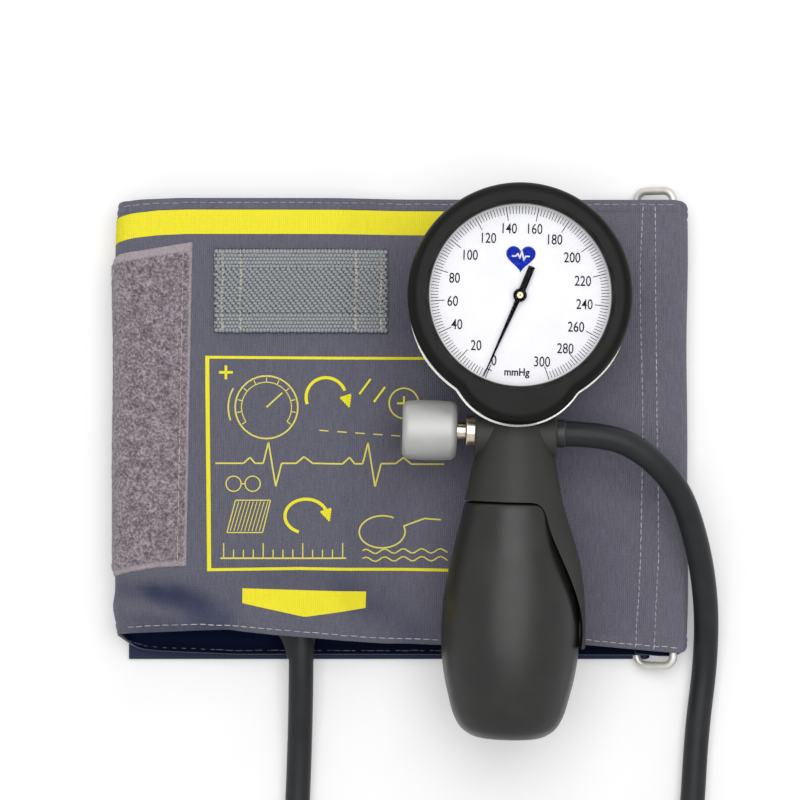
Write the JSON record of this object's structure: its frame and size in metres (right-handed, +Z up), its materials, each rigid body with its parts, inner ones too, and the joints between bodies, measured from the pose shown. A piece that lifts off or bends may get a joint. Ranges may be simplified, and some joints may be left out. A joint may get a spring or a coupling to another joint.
{
  "type": "aneroid sphygmomanometer",
  "caption": "Palm-held aneroid blood pressure gauge with a dial, release valve and rubber bulb, lying on a folded arm cuff and joined to it by one hose.",
  "frame": {"origin": "on the table, under the middle of the cuff and gauge unit, without the hose", "axes": "+Z up, +Y from the bulb to the top of the gauge, +X to the side where the hose leaves"},
  "size_m": [0.1859, 0.2717, 0.0525],
  "materials": {
    "cuff_cloth": "woven nylon, matte",
    "lining_cloth": "coated nylon, dark navy",
    "bladder_rubber": "smooth rubber",
    "seam_cloth": "turned-in cloth",
    "loop_pile": "napped loop pile",
    "hook_tape": "hook tape",
    "webbing": "basket weave tape",
    "nickel_wire": "bright nickel",
    "brass": "turned",
    "steel": "turned",
    "case_metal": "satin black",
    "trim_metal": "satin",
    "guard_rubber": "matte moulded rubber",
    "lens_clear": "clear",
    "dial_white": "satin white",
    "pointer_black": "satin black",
    "lens_ring_black": "matte",
    "handle_plastic": "fine matte grain",
    "bulb_rubber": "matte moulded rubber",
    "knob_metal": "satin, smooth",
    "collar_nickel": "satin nickel",
    "hose_rubber": "smooth matte",
    "socket_plastic": "matte",
    "flap_rubber": "thin flap"
  },
  "bodies": {
    "base": {"cuff_outer": "cuff_cloth", "cuff_lining": "lining_cloth", "bladder": "bladder_rubber", "seam_allowance": "seam_cloth", "loop_patch": "loop_pile", "hook_patch": "hook_tape", "webbing_strap": "webbing", "bladder_port": "socket_plastic", "gauge_case": "case_metal", "trim_band": "trim_metal", "bezel_guard": "guard_rubber", "dial_plate": "dial_white", "lens_ring": "lens_ring_black", "lens": "lens_clear", "hairspring": "steel", "movement_plate_lower": "brass", "movement_plate_upper": "brass", "hairspring_stud": "brass", "plate_pillars": "brass", "movement_posts": "brass", "case_screws": "steel", "capsule": "brass", "capsule_stud": "brass", "pressure_tube": "brass", "manifold": "brass", "manifold_nut": "brass", "handle_shell": "handle_plastic", "valve_collar": "collar_nickel", "valve_seal": "flap_rubber", "hose_connector": "socket_plastic", "outlet_valve_cage": "brass", "bulb": "bulb_rubber", "bulb_washer": "steel", "intake_valve_body": "collar_nickel", "intake_filter": "steel", "hose": "hose_rubber"},
    "pointer": {"pointer": "pointer_black", "pinion_arbor": "steel"},
    "sector": {"sector_gear": "brass"},
    "rocker": {"rocking_lever": "steel"},
    "post": {"capsule_post": "brass"},
    "needle": {"valve_needle": "collar_nickel"},
    "knob": {"valve_knob": "knob_metal"},
    "outlet_flap": {"outlet_valve_disc": "flap_rubber"},
    "intake_flap": {"intake_valve_disc": "flap_rubber"},
    "ring": {"cuff_ring": "nickel_wire"}
  },
  "joints": [
    {"name": "capsule_push", "type": "slide", "parent": "base", "child": "post", "axis": [0, 0, 1], "range_m": [0, 0.002], "stiffness_N_per_m": 5, "deforming": ["capsule"]},
    {"name": "rocker_swing", "type": "hinge", "parent": "base", "child": "rocker", "pos_m": [0.03584, 0.0393, 0.0239], "axis": [0.9997, -0.0262, 0], "range_deg": [0, 11.46]},
    {"name": "sector_swing", "type": "hinge", "parent": "base", "child": "sector", "pos_m": [0.03558, 0.02951, 0.0329], "axis": [0, 0, 1], "range_deg": [0, 31.82]},
    {"name": "pointer_turn", "type": "hinge", "parent": "base", "child": "pointer", "pos_m": [0.0361, 0.0493, 0.0389], "axis": [0, 0, -1], "range_deg": [0, 318.2]},
    {"name": "needle_travel", "type": "slide", "parent": "base", "child": "needle", "axis": [-0.9997, 0.0262, 0], "range_m": [0, 0.002]},
    {"name": "knob_turn", "type": "hinge", "parent": "needle", "child": "knob", "pos_m": [0.01004, 0.00917, 0.0318], "axis": [-0.9997, 0.0262, 0], "range_deg": [0, 720]},
    {"name": "outlet_lift", "type": "slide", "parent": "base", "child": "outlet_flap", "axis": [0.0262, 0.9997, 0], "range_m": [0, 0.0008]},
    {"name": "intake_lift", "type": "slide", "parent": "base", "child": "intake_flap", "axis": [0.0262, 0.9997, 0], "range_m": [0, 0.0008]},
    {"name": "ring_slide", "type": "slide", "parent": "base", "child": "ring", "axis": [0, 1, 0], "range_m": [-0.0008, 0.0008]}
  ],
  "couplings": [
    {"joint": "rocker_swing", "follows": "capsule_push", "rad_per_m": 100},
    {"joint": "sector_swing", "follows": "capsule_push", "rad_per_m": 277.68},
    {"joint": "pointer_turn", "follows": "capsule_push", "rad_per_m": 2776.8},
    {"joint": "knob_turn", "follows": "needle_travel", "rad_per_m": 6283.2}
  ]
}
